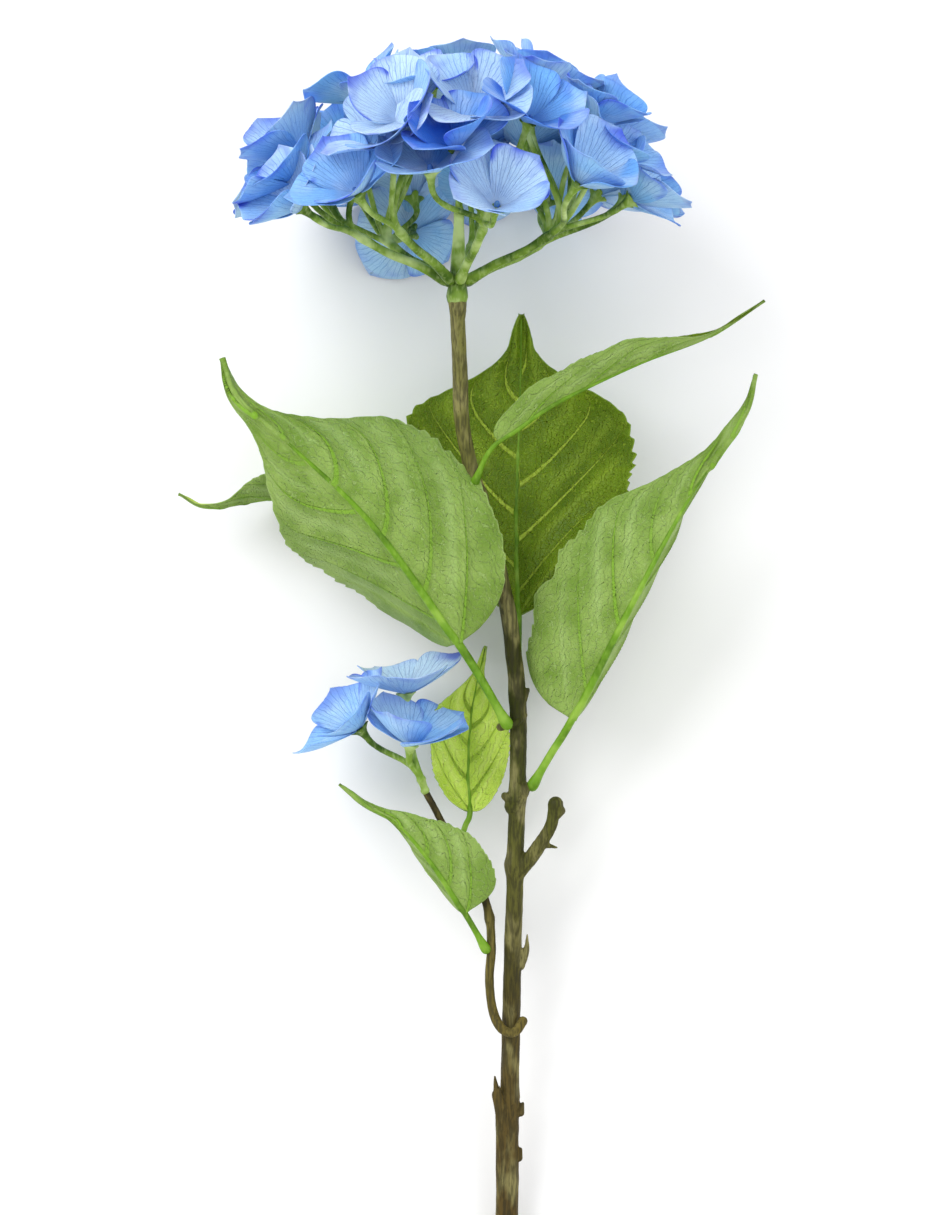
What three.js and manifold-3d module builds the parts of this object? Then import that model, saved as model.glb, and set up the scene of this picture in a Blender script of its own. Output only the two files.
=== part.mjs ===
// One cut hydrangea stem with its blue flower head, seven leaves and a small flowering side shoot,
// laid on a flat surface. Millimetres. The plant is modelled in a frame of its own, x across it, y along the
// stem from the cut end to the flower head, and z out of its front, and is then laid down at the end.
import * as THREE from "three";
import { mergeVertices } from "three/addons/utils/BufferGeometryUtils.js";
import Module from "manifold-3d";

const wasm = await Module();
wasm.setup();

// Driving dimensions
const REST_TILT = 8.8; // degrees that the stem rises from its cut end to the flower head
const GAP = 0.35; // clearance between pieces that touch
const SLIVER = 0.03; // detail under this size is dropped after a cut
const HEAD_CENTRE = [-4.6, 456, 2]; // middle of the dome that the florets sit on
const HEAD_RADIUS = 73; // of that dome, at its rim
const HEAD_HEIGHT = 55; // of that dome, above its middle
const HEAD_BACK = 0.74; // the side that the head lies on is flattened at this share of the radius
const STALK_BASE = [-5.4, 420.6, 0]; // where the flower stalks leave the woody stem
const FLORET_RADIUS = 23.5;
const FLORET_CUP = 0.4; // rise of the petals over their reach
const PETAL_THICKNESS = 1;
const CALYX_LENGTH = 6;
const CALYX_RADIUS = 2.2; // where it meets the petals
const CALYX_FOOT_RADIUS = 0.6;
const LEAF_THICKNESS = 1.2;
const LEAF_CURL = 14; // degrees that each half of a leaf bends between the midrib and the edge
const PETIOLE_RADIUS = 1.9; // of a leaf's stalk, where it leaves the stem
const PETIOLE_END_RADIUS = 1.5; // where it runs on below the blade
const MIDRIB_DEPTH = 1.7; // how far the midrib stands below the blade, at the blade's base
const SHOOT_RADIUS = 2.1; // of the side shoot, at its foot
const SHOOT_END_RADIUS = 1.3;
const MIDDLE_BRANCH_RADIUS = 4.2;
const BRANCH_RADIUS = 2; // of an outer flower stalk, at its foot
const BRANCH_END_RADIUS = 1.6;
const SHOOT_BRANCH_RADIUS = 1.6;
const PEDICEL_RADIUS = 1.35; // of the stalk of one floret, at its foot
const PEDICEL_END_RADIUS = 1.2;

const degrees = THREE.MathUtils.degToRad;
const point = ([x, y, z]) => new THREE.Vector3(x, y, z);
const smooth = (low, high, value) => THREE.MathUtils.smoothstep(value, low, high);
const lerp = THREE.MathUtils.lerp;

// Materials
const material = (color, roughness) => new THREE.MeshStandardMaterial({ color, roughness, metalness: 0 });
const bark = material(0x5f5a34, 0.7);
const shootBark = material(0x6b5d30, 0.65);
const leafGreen = material(0x8aa552, 0.55);
const stalkGreen = material(0x7b9c3e, 0.5);
const petalBlue = material(0x5f93dc, 0.7);

// A closed body through rings of points that all have the same even count. Its end faces are closed by strips
// that run between the two halves of the ring.
function loft(rings) {
  const count = rings[0].length;
  const positions = rings.flat().flatMap((p) => [p.x, p.y, p.z]);
  const faces = [];
  for (let r = 0; r + 1 < rings.length; r++) {
    for (let i = 0; i < count; i++) {
      const a = r * count + i;
      const b = r * count + ((i + 1) % count);
      faces.push(a, b, b + count, a, b + count, a + count);
    }
  }
  const last = (rings.length - 1) * count;
  for (let low = 0; low < count / 2 - 1; low++) {
    const high = count - 1 - low;
    faces.push(low, high, low + 1, low + 1, high, high - 1);
    faces.push(last + low, last + low + 1, last + high, last + low + 1, last + high - 1, last + high);
  }
  const geometry = new THREE.BufferGeometry();
  geometry.setAttribute("position", new THREE.Float32BufferAttribute(positions, 3));
  geometry.setIndex(faces);
  return geometry;
}

function solidOf(geometry) {
  const merged = mergeVertices(geometry, 1e-4);
  return new wasm.Manifold(
    new wasm.Mesh({
      numProp: 3,
      vertProperties: merged.attributes.position.array,
      triVerts: new Uint32Array(merged.index.array),
    }),
  );
}

function geometryOf(solid) {
  const mesh = solid.getMesh();
  const geometry = new THREE.BufferGeometry();
  geometry.setAttribute("position", new THREE.BufferAttribute(mesh.vertProperties, 3));
  geometry.setIndex(new THREE.BufferAttribute(mesh.triVerts, 1));
  const faceted = geometry.toNonIndexed();
  faceted.computeVertexNormals();
  return faceted;
}

const spline = (points) => new THREE.CatmullRomCurve3(points.map(point), false, "catmullrom", 0.5);

// A round tube along a curve, whose radius is radiusAt(0) at the start and radiusAt(1) at the end.
function tube(curve, radiusAt, sides, steps) {
  const frames = curve.computeFrenetFrames(steps);
  const rings = [];
  for (let s = 0; s <= steps; s++) {
    const share = s / steps;
    const centre = curve.getPointAt(share);
    const radius = radiusAt(share);
    const ring = [];
    for (let i = 0; i < sides; i++) {
      const angle = (2 * Math.PI * i) / sides;
      const out = frames.normals[s].clone().multiplyScalar(radius * Math.cos(angle));
      out.addScaledVector(frames.binormals[s], radius * Math.sin(angle));
      ring.push(out.add(centre));
    }
    rings.push(ring);
  }
  return solidOf(loft(rings));
}

const taper = (from, to) => (share) => from + (to - from) * share;
const joined = (solids) => solids.reduce((whole, next) => whole.add(next));

// ---- Woody stem ----

// The stem and what grows from it, each a tube that tapers from the first radius to the second.
const STEM_PARTS = {
  stem: {
    points: [
      [15.5, 0, 0],
      [16.4, 61, 0.5],
      [17.2, 112, 0],
      [18.9, 179, -0.5],
      [20.2, 242, 0],
      [16, 288, 0],
      [5, 332, 0.5],
      [-2.9, 364, 0],
      [-4.4, 395, 0],
      [-5.4, 420, 0],
    ],
    radii: [4.2, 3.1],
    sides: 10,
    steps: 22,
  },
  collarBelowFlowers: {
    points: [[-5, 412, 0], [-5.4, 420, 0]],
    radii: [3.2, 3.8],
    sides: 10,
    steps: 1,
  },
  cutStub: {
    points: [[19.5, 178, 0], [27.5, 188, 2], [33.5, 198, 3], [35.6, 207.5, 3]],
    radii: [3.4, 2.4],
    sides: 8,
    steps: 4,
  },
  stubKnob: {
    points: [[34, 200, 3], [38.6, 204.5, 3.6]],
    radii: [2, 1.6],
    sides: 6,
    steps: 1,
  },
  footSpur: {
    points: [[11.8, 0, 3], [13.4, 40, 3.4], [13, 74, 3], [11.4, 86, 2.4]],
    radii: [3.2, 2.4],
    sides: 8,
    steps: 4,
  },
  footSpurBud: {
    points: [[12, 82, 2.4], [11.2, 87, 2.2], [10.6, 92.5, 2]],
    radii: [2.2, 0.7],
    sides: 6,
    steps: 2,
  },
  sideBud: {
    points: [[21.4, 141, 1], [23.2, 146, 1.2], [24, 152, 1.2]],
    radii: [2, 0.6],
    sides: 6,
    steps: 2,
  },
  upperNode: {
    points: [[18.4, 207, 0], [21.6, 214, 1.5]],
    radii: [4.6, 4.6],
    sides: 8,
    steps: 1,
  },
  upperNodeSpur: {
    points: [[21.6, 250, 0], [24.2, 255.6, 1]],
    radii: [2, 1],
    sides: 6,
    steps: 1,
  },
};

function mainStem(extra = 0) {
  const solids = Object.values(STEM_PARTS).map(({ points, radii, sides, steps }) =>
    tube(spline(points), taper(radii[0] + extra, radii[1] + extra), sides, steps),
  );
  return joined(solids);
}

// ---- Side shoot: it clasps the front of the main stem and climbs beside it ----

const SHOOT = [
  [22, 117, 5.5],
  [18.4, 112.6, 8],
  [13, 114.4, 7.4],
  [9.4, 122, 3],
  [8.2, 135, 1],
  [9, 148, 0.5],
  [7.4, 164, 0],
  [1, 180.5, 0],
  [-9, 195.5, 1],
  [-18.6, 212.8, 3],
];
const SHOOT_SIDES = 8;
const SHOOT_STEPS = 18;
const sideShoot = (extra = 0) =>
  tube(spline(SHOOT), taper(SHOOT_RADIUS + extra, SHOOT_END_RADIUS + extra), SHOOT_SIDES, SHOOT_STEPS);

// ---- Leaves ----
// midrib runs from the stem to the tip. petiole is the bare length before the blade. turn is the way the upper
// face looks at the blade's base, halfway and at its tip: 0 is to the front, 90 and 270 are to the sides and 180
// is to the back. fold is how far each half rises from flat, and belly is where the blade is widest.
const LEAVES = [
  {
    name: "leaf_left_large",
    midrib: [
      [15.4, 241.5, 5],
      [-4, 274, 15],
      [-40, 324, 26],
      [-74, 357, 25],
      [-96, 377, 19],
      [-103, 394, 15],
    ],
    petiole: 40,
    halfWidth: 50,
    turn: [150, 172, 190],
    fold: 26,
    belly: 0.38,
  },
  {
    name: "leaf_back",
    midrib: [
      [20.5, 244, -4.6],
      [20, 270, -8],
      [20.2, 289, -15],
      [19.8, 330, -30],
      [21.5, 380, -34],
      [22, 416, -30],
    ],
    petiole: 44,
    halfWidth: 54,
    turn: [0, 0, 0],
    fold: 12,
    belly: 0.53,
  },
  {
    name: "leaf_right",
    midrib: [
      [26.2, 215.5, 2],
      [34, 229, 4],
      [43, 244, 6],
      [65, 288, 16],
      [91, 336, 18],
      [114, 369, 10],
      [119.7, 388, 4],
    ],
    petiole: 32,
    halfWidth: 40,
    turn: [207, 209, 213],
    fold: 42,
    belly: 0.29,
  },
  {
    name: "leaf_upper_right",
    midrib: [
      [2.2, 343, 4],
      [8.6, 356, 9],
      [21, 366, 12],
      [38, 377, 14],
      [70, 392, 10],
      [101, 404, 4],
      [124, 419, 0],
    ],
    petiole: 20,
    halfWidth: 12,
    turn: [262, 268, 320],
    fold: 50,
    belly: 0.36,
  },
  {
    name: "leaf_upper_left",
    midrib: [
      [-4.4, 340, -2.4],
      [-20, 340, -12],
      [-50, 341, -26],
      [-86, 337, -30],
      [-112, 333, -30],
      [-125, 339, -30],
    ],
    petiole: 22,
    halfWidth: 23,
    turn: [94, 96, 98],
    fold: 12,
    belly: 0.4,
  },
  {
    name: "leaf_shoot_upper",
    midrib: [
      [-5.4, 188, -1.4],
      [-2, 198, -6],
      [0, 204, -8],
      [-0.8, 222, -12],
      [1, 248, -14],
      [6.6, 274, -10],
    ],
    petiole: 18,
    halfWidth: 19,
    turn: [8, 1, -6],
    fold: 14,
    belly: 0.42,
  },
  {
    name: "leaf_shoot_lower",
    midrib: [
      [6.6, 147, 3],
      [-3.4, 164.5, 8],
      [-16, 184, 13],
      [-30, 200, 14],
      [-44, 208, 12],
      [-54.6, 216.6, 10],
    ],
    petiole: 18,
    halfWidth: 21,
    turn: [146, 148, 150],
    fold: 30,
    belly: 0.2,
  },
];
const BLADE_STEPS = 9;
const BLADE_SPAN = [0.02, 0.995]; // shares of the blade's length between which it has any width
const BLADE_COLUMNS = [-1, -0.55, 0, 0.55, 1];
const BLADE_SHOULDERS = 0.55; // under 1 makes the blade fuller than an oval
const TIP_SPAN = [0.62, 0.9]; // where the blade draws in to its long tip
const TIP_NARROWING = 0.8;
const MIDRIB_FADE = 0.8; // share of its depth that the midrib loses towards the tip
const PETIOLE_OVERLAP = 0.035; // share of the leaf's length that the stalk runs on below the blade
const PETIOLE_SIDES = 6;
const PETIOLE_STEPS = 6;
const PETIOLE_POINTS = 8;

// Half-width of a blade over its greatest half-width, at a share of its length: a rounded base, full shoulders
// and a long drawn-out tip.
function leafOutline(share, belly) {
  const along = share ** (Math.log(0.5) / Math.log(belly));
  const body = Math.sin(Math.PI * along) ** BLADE_SHOULDERS;
  return body * (1 - TIP_NARROWING * smooth(...TIP_SPAN, along));
}

const turnAt = ([base, middle, tip], share) =>
  share < 0.5 ? lerp(base, middle, 2 * share) : lerp(middle, tip, 2 * share - 1);

function leafFrame(curve, at, turn) {
  const along = curve.getTangentAt(at);
  const front = new THREE.Vector3(0, 0, 1).addScaledVector(along, -along.z).normalize();
  const beside = new THREE.Vector3().crossVectors(along, front);
  const upper = front.multiplyScalar(Math.cos(turn)).addScaledVector(beside, Math.sin(turn));
  return { along, upper, side: new THREE.Vector3().crossVectors(along, upper) };
}

function leaf(spec, extra = 0) {
  const curve = spline(spec.midrib);
  const bladeFrom = spec.petiole / curve.getLength();
  const half = LEAF_THICKNESS / 2 + extra;
  const rings = [];
  for (let s = 0; s <= BLADE_STEPS; s++) {
    const share = lerp(...BLADE_SPAN, s / BLADE_STEPS);
    const at = bladeFrom + (1 - bladeFrom) * share;
    const { upper, side } = leafFrame(curve, at, degrees(turnAt(spec.turn, share)));
    const width = spec.halfWidth * leafOutline(share, spec.belly);
    const middle = curve.getPointAt(at);
    const keel = MIDRIB_DEPTH * (1 - MIDRIB_FADE * share);
    const lower = [];
    const over = [];
    for (const column of BLADE_COLUMNS) {
      const reach = Math.abs(column) * (width + extra);
      const rise = degrees(spec.fold + LEAF_CURL * Math.abs(column));
      const place = middle.clone();
      place.addScaledVector(side, Math.sign(column) * reach * Math.cos(rise));
      place.addScaledVector(upper, reach * Math.sin(rise));
      over.push(place.clone().addScaledVector(upper, half));
      lower.push(place.addScaledVector(upper, -half - (column === 0 ? keel : 0)));
    }
    rings.push([...over, ...lower.reverse()]);
  }
  const stalkEnd = bladeFrom + PETIOLE_OVERLAP;
  const stalkPoints = Array.from({ length: PETIOLE_POINTS + 1 }, (_, i) =>
    curve.getPointAt((stalkEnd * i) / PETIOLE_POINTS).toArray(),
  );
  const thickness = taper(PETIOLE_RADIUS + extra, PETIOLE_END_RADIUS + extra);
  return solidOf(loft(rings)).add(tube(spline(stalkPoints), thickness, PETIOLE_SIDES, PETIOLE_STEPS));
}

// ---- Florets: four petals round a small green calyx ----
// Each head floret is placed by its compass angle round the head, 0 to the right and 90 to the front, its height
// angle on the dome, its spin about its own stalk, and how far it turns from the dome's slope towards straight up.
const HEAD_FLORETS = [
  // front and sides, from the rim upwards
  { compass: 10, height: 4, spin: 10, lift: 0.6 },
  { compass: 48, height: 6, spin: 52, lift: 0.75 },
  { compass: 78, height: -6, spin: 38, lift: 0.9 },
  { compass: 99, height: 9, spin: 68, lift: 1.7 },
  { compass: 124, height: 1, spin: 30, lift: 0.8 },
  { compass: 152, height: -2, spin: 5, lift: 0.7 },
  { compass: 160, height: 10, spin: 40, lift: 1 },
  { compass: 116, height: 23, spin: 15, lift: 0.6 },
  { compass: 91, height: 19, spin: 60, lift: 0.8 },
  { compass: 16, height: 40, spin: 35, lift: 0.6 },
  { compass: 84, height: 40, spin: 48, lift: 0.25 },
  { compass: 62, height: 34, spin: 20, lift: 0.5 },
  { compass: 172, height: 24, spin: 62, lift: 1 },
  { compass: 33, height: 60, spin: 65, lift: 0.3 },
  { compass: 22, height: 22, spin: 50, lift: 0.5 },
  { compass: 112, height: 35, spin: 78, lift: 0.15 },
  { compass: -5, height: 35, spin: 20, lift: 0.4 },
  // back rim
  { compass: -172, height: 8, spin: 5, lift: 0.7 },
  { compass: -150, height: 12, spin: 40, lift: 0.9 },
  { compass: -128, height: 13, spin: 22, lift: 0.9 },
  { compass: -106, height: 12, spin: 35, lift: 0.9 },
  { compass: -82, height: 13, spin: 0, lift: 0.9 },
  { compass: -58, height: 11, spin: 50, lift: 0.9 },
  { compass: -34, height: 12, spin: 50, lift: 0.8 },
  { compass: -14, height: 7, spin: 25, lift: 0.7 },
  { compass: -107, height: -3, spin: 45, lift: 0.3 },
  // back
  { compass: -165, height: 22, spin: 20, lift: 0.5 },
  { compass: -138, height: 32, spin: 62, lift: 0.5 },
  { compass: -112, height: 36, spin: 10, lift: 0.5 },
  { compass: -86, height: 33, spin: 55, lift: 0.5 },
  { compass: -61, height: 36, spin: 25, lift: 0.5 },
  { compass: -33, height: 33, spin: 75, lift: 0.5 },
  { compass: -122, height: 54, spin: 50, lift: 0.3 },
  { compass: -86, height: 60, spin: 30, lift: 0.3 },
  { compass: -40, height: 56, spin: 68, lift: 0.3 },
  { compass: 178, height: 58, spin: 50, lift: 0.2 },
  // top
  { compass: 108, height: 60, spin: 42, lift: 0.2 },
  { compass: -92, height: 80, spin: 12, lift: 0.2 },
  { compass: -1, height: 62, spin: 50, lift: 0.2 },
];

// The side shoot's florets: centre, direction they face, and spin.
const SHOOT_FLORETS = [
  { centre: [-25, 233, 9], faces: [0.08, 0.93, 0.36], spin: 42 },
  { centre: [-27, 254, -5], faces: [-0.05, 0.98, 0.15], spin: 30 },
  { centre: [-46.5, 239.5, 0], faces: [-0.6, 0.75, 0.25], spin: 38 },
];

function headFloret({ compass, height, spin, lift }) {
  const up = degrees(height);
  const round = degrees(compass);
  const reach = HEAD_RADIUS * Math.cos(up);
  const front = Math.max(Math.sin(round), -HEAD_BACK);
  const offset = new THREE.Vector3(reach * Math.cos(round), HEAD_HEIGHT * Math.sin(up), reach * front);
  const faces = new THREE.Vector3(Math.cos(up) * Math.cos(round), Math.sin(up), Math.cos(up) * Math.sin(round));
  faces.y += lift;
  return { centre: offset.add(point(HEAD_CENTRE)), faces: faces.normalize(), spin };
}

const HEART_RADIUS = 1; // of the floret's flat middle
const FLORET_POINTS = 16; // round the rim, four to each petal
const PETAL_EDGE = [0.6, 1, 1.04, 1]; // reach of the rim at those four points

// A floret about its own centre, facing +Z.
function floretShape(extra = 0) {
  const ring = (radiusAt, height) =>
    Array.from({ length: FLORET_POINTS }, (_, i) => {
      const angle = (2 * Math.PI * i) / FLORET_POINTS;
      const radius = radiusAt(i);
      return new THREE.Vector3(radius * Math.cos(angle), radius * Math.sin(angle), height(radius));
    });
  const rim = (i) => (FLORET_RADIUS + extra) * PETAL_EDGE[i % PETAL_EDGE.length];
  const half = PETAL_THICKNESS / 2 + extra;
  return solidOf(
    loft([
      ring(() => CALYX_FOOT_RADIUS + extra, () => -CALYX_LENGTH - extra),
      ring(() => CALYX_RADIUS + extra, () => -half),
      ring(rim, (radius) => FLORET_CUP * radius - half),
      ring(rim, (radius) => FLORET_CUP * radius + half),
      ring(() => HEART_RADIUS, () => half),
    ]),
  );
}

function floretMatrix({ centre, faces, spin }) {
  const turn = new THREE.Quaternion().setFromUnitVectors(new THREE.Vector3(0, 0, 1), faces);
  turn.multiply(new THREE.Quaternion().setFromAxisAngle(new THREE.Vector3(0, 0, 1), degrees(spin)));
  return new THREE.Matrix4().compose(centre, turn, new THREE.Vector3(1, 1, 1));
}

// ---- Flower stalks: a thick middle branch and outer branches, each forking into one pedicel a floret ----

const BRANCHES = [22, 75, 125, 168, -132, -82, -32]; // compass angles of the outer branches
const MIDDLE_REACH = 34; // florets nearer the axis than this hang on the middle branch
const MIDDLE_BRANCH = [STALK_BASE, [-5, 432, 0], [-4.8, 445, 0.5], [-4.6, 457, 1]];
const BRANCH_PROFILE = [[5.4, 7], [17, 13], [30, 18], [41, 24]]; // reach and rise from the stalks' base
const SHOOT_BRANCH = [[-18.9, 213.6, 3.2], [-20.4, 218, 4]];
const BRANCH_SIDES = 8;
const BRANCH_STEPS = 4;
const PEDICEL_SIDES = 6;
const PEDICEL_STEPS = 4;
const PEDICEL_DEPTH = 0.6; // how far inside its branch the first pedicel starts
const PEDICEL_STAGGER = 0.45; // how much deeper each next one starts
const PEDICEL_SPRING = 0.4; // share of its span that a pedicel keeps to the branch's direction
const PEDICEL_ARRIVAL = 0.35; // share of its span that it keeps to the floret's direction
const FLORET_CLEARANCE = 0.6; // between a pedicel and its floret's calyx

// A pedicel starts inside its branch, each at a depth of its own.
function pedicel(fork, leaving, depth, floret, extra) {
  const start = fork.clone().addScaledVector(leaving, -depth);
  const foot = floret.centre.clone().addScaledVector(floret.faces, -CALYX_LENGTH - FLORET_CLEARANCE);
  const span = foot.distanceTo(fork);
  const curve = new THREE.CubicBezierCurve3(
    start,
    fork.clone().addScaledVector(leaving, span * PEDICEL_SPRING),
    foot.clone().addScaledVector(floret.faces, -span * PEDICEL_ARRIVAL),
    foot,
  );
  const thickness = taper(PEDICEL_RADIUS + extra, PEDICEL_END_RADIUS + extra);
  return tube(curve, thickness, PEDICEL_SIDES, PEDICEL_STEPS);
}

function spray(points, florets, extra, thick) {
  const curve = spline(points);
  const fork = curve.getPointAt(1);
  const leaving = curve.getTangentAt(1);
  const branch = tube(curve, taper(thick + extra, BRANCH_END_RADIUS + extra), BRANCH_SIDES, BRANCH_STEPS);
  const pedicels = florets.map((floret, i) =>
    pedicel(fork, leaving, PEDICEL_DEPTH + PEDICEL_STAGGER * i, floret, extra),
  );
  return joined([branch, ...pedicels]);
}

function outerBranch(compass) {
  const round = degrees(compass);
  const out = new THREE.Vector3(Math.cos(round), 0, Math.sin(round));
  out.z = Math.max(out.z, -HEAD_BACK);
  const base = point(STALK_BASE);
  return BRANCH_PROFILE.map(([reach, rise]) => {
    const place = base.clone().addScaledVector(out, reach);
    place.y += rise;
    return place.toArray();
  });
}

// ---- Putting it together ----

const plant = new THREE.Group();
const placed = []; // what later pieces keep clear of, as solids in the plant's frame

const boxesMeet = (a, b) => [0, 1, 2].every((i) => a.min[i] < b.max[i] && b.min[i] < a.max[i]);

// Adds a piece, cut back wherever it would run into an earlier one. keepOut is the piece grown by the gap.
function add(name, solid, keepOut, finish, matrix = new THREE.Matrix4()) {
  const elements = matrix.elements;
  let kept = solid.transform(elements);
  const grown = keepOut.transform(elements);
  for (const other of placed) {
    if (boxesMeet(kept.boundingBox(), other.boundingBox())) kept = kept.subtract(other);
  }
  const whole = kept.simplify(SLIVER).decompose().reduce((a, b) => (a.volume() > b.volume() ? a : b));
  placed.push(grown);
  const local = whole.transform(matrix.clone().invert().elements);
  const mesh = new THREE.Mesh(geometryOf(local), finish);
  mesh.name = name;
  mesh.applyMatrix4(matrix);
  plant.add(mesh);
}

add("main_stem", mainStem(), mainStem(GAP), bark);
add("side_shoot", sideShoot(), sideShoot(GAP), shootBark);
for (const spec of LEAVES) add(spec.name, leaf(spec), leaf(spec, GAP), leafGreen);

const florets = HEAD_FLORETS.map(headFloret);
const fromAxis = (floret) => Math.hypot(floret.centre.x - HEAD_CENTRE[0], floret.centre.z - HEAD_CENTRE[2]);
const compassOf = (floret) =>
  THREE.MathUtils.radToDeg(Math.atan2(floret.centre.z - HEAD_CENTRE[2], floret.centre.x - HEAD_CENTRE[0]));
const turnBetween = (a, b) => Math.abs(((a - b + 540) % 360) - 180);
const nearestBranch = (floret) =>
  BRANCHES.reduce((best, next) =>
    turnBetween(compassOf(floret), next) < turnBetween(compassOf(floret), best) ? next : best,
  );

const middleFlorets = florets.filter((floret) => fromAxis(floret) < MIDDLE_REACH);
const outerFlorets = florets.filter((floret) => fromAxis(floret) >= MIDDLE_REACH);
const middleSpray = (extra) => spray(MIDDLE_BRANCH, middleFlorets, extra, MIDDLE_BRANCH_RADIUS);
add("flower_stalk_middle", middleSpray(0), middleSpray(GAP), stalkGreen);
BRANCHES.forEach((compass, index) => {
  const held = outerFlorets.filter((floret) => nearestBranch(floret) === compass);
  const outer = (extra) => spray(outerBranch(compass), held, extra, BRANCH_RADIUS);
  add(`flower_stalk_${index + 1}`, outer(0), outer(GAP), stalkGreen);
});

const shootFlorets = SHOOT_FLORETS.map(({ centre, faces, spin }) => ({
  centre: point(centre),
  faces: point(faces).normalize(),
  spin,
}));
const shootSpray = (extra) => spray(SHOOT_BRANCH, shootFlorets, extra, SHOOT_BRANCH_RADIUS);
add("side_shoot_stalks", shootSpray(0), shootSpray(GAP), stalkGreen);

const shape = floretShape();
const grownShape = floretShape(GAP);
const addFloret = (floret, name) => add(name, shape, grownShape, petalBlue, floretMatrix(floret));
florets.forEach((floret, i) => addFloret(floret, `floret_${String(i + 1).padStart(2, "0")}`));
shootFlorets.forEach((floret, i) => addFloret(floret, `side_floret_${i + 1}`));

// Laid down: the stem rises from its cut end towards the flower head, and everything rests on z = 0 with the
// origin below the middle of it all.
plant.rotation.x = degrees(REST_TILT);
const hydrangea = new THREE.Group();
hydrangea.add(plant);
const extent = new THREE.Box3().setFromObject(hydrangea, true);
const middle = extent.getCenter(new THREE.Vector3());
plant.position.set(-middle.x, -middle.y, -extent.min.z);

export default hydrangea;
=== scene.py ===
"""One cut hydrangea stem lying on a pale floor, seen from above. Lengths in this file are millimetres in the
plant's own frame, x across it, y along the stem and z out of its front, until lay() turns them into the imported
model's metres. The floor and the lights are given in metres."""

import math

import bpy
import mathutils
import numpy as np
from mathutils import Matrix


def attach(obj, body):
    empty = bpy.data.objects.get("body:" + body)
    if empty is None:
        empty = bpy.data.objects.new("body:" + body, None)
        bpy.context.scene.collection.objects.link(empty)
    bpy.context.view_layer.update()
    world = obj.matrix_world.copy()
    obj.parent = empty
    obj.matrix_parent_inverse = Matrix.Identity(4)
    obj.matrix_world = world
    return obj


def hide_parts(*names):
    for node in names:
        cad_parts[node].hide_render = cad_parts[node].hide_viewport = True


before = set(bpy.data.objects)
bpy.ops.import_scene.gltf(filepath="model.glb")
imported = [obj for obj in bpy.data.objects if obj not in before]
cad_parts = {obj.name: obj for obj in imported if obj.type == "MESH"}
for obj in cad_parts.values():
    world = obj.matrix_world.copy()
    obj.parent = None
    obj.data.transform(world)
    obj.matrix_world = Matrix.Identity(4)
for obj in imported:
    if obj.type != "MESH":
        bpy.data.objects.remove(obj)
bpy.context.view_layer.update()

MM = 0.001
FULL_TURN = 2 * math.pi
TILT = math.radians(8.8)  # the stem rises from its cut end to the flower head
PLANT_ORIGIN = np.array([0.612, -258.279, 4.145])  # where the plant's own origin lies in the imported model


def lay(points):
    """Points of the plant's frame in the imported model's frame, in metres."""
    x, y, z = np.asarray(points, float).reshape(-1, 3).T
    level = y * math.cos(TILT) - z * math.sin(TILT)
    raised = y * math.sin(TILT) + z * math.cos(TILT)
    turned = np.stack([x, level, raised], 1)
    return (turned + PLANT_ORIGIN) * MM


def unit(vectors):
    return vectors / (np.linalg.norm(vectors, axis=-1, keepdims=True) + 1e-12)


def smooth(low, high, value):
    t = np.clip((np.asarray(value, float) - low) / (high - low), 0, 1)
    return t * t * (3 - 2 * t)


CURVE_SAMPLES = 60  # along each span of a curve, before its points are evened out
BEZIER_SAMPLES = 80
CAP_ANGLES = (0.5, 1.0, 1.4)  # radians round a tube's rounded end, ring by ring


def spline(points, steps):
    """Evenly spaced points along the curve through the given ones."""
    p = np.array(points, float)
    p = np.vstack([2 * p[0] - p[1], p, 2 * p[-1] - p[-2]])
    t = np.linspace(0, 1, CURVE_SAMPLES, endpoint=False)[:, None]
    spans = []
    for i in range(1, len(p) - 2):
        leave, arrive = (p[i + 1] - p[i - 1]) / 2, (p[i + 2] - p[i]) / 2
        spans.append(
            (2 * t**3 - 3 * t**2 + 1) * p[i] + (t**3 - 2 * t**2 + t) * leave
            + (3 * t**2 - 2 * t**3) * p[i + 1] + (t**3 - t**2) * arrive
        )
    return even(np.vstack([*spans, p[-2]]), steps)


def bezier(a, b, c, d, steps):
    t = np.linspace(0, 1, BEZIER_SAMPLES)[:, None]
    return even((1 - t) ** 3 * a + 3 * (1 - t) ** 2 * t * b + 3 * (1 - t) * t**2 * c + t**3 * d, steps)


def even(dense, steps):
    run = np.concatenate([[0], np.cumsum(np.linalg.norm(np.diff(dense, axis=0), axis=1))])
    at = np.linspace(0, run[-1], steps + 1)
    return np.stack([np.interp(at, run, dense[:, k]) for k in range(3)], 1)


def length_of(path):
    return np.linalg.norm(np.diff(path, axis=0), axis=1).sum()


# ---- Meshes ----


def strips(rows, columns, closed):
    """Faces of a grid of points, row after row. Closed rows join their ends."""
    r = np.arange(rows - 1)[:, None]
    c = np.arange(columns if closed else columns - 1)[None, :]
    n = (c + 1) % columns
    a, b = r * columns + c, r * columns + n
    return np.stack([a, b, b + columns, a + columns], -1).reshape(-1, 4)


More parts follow.
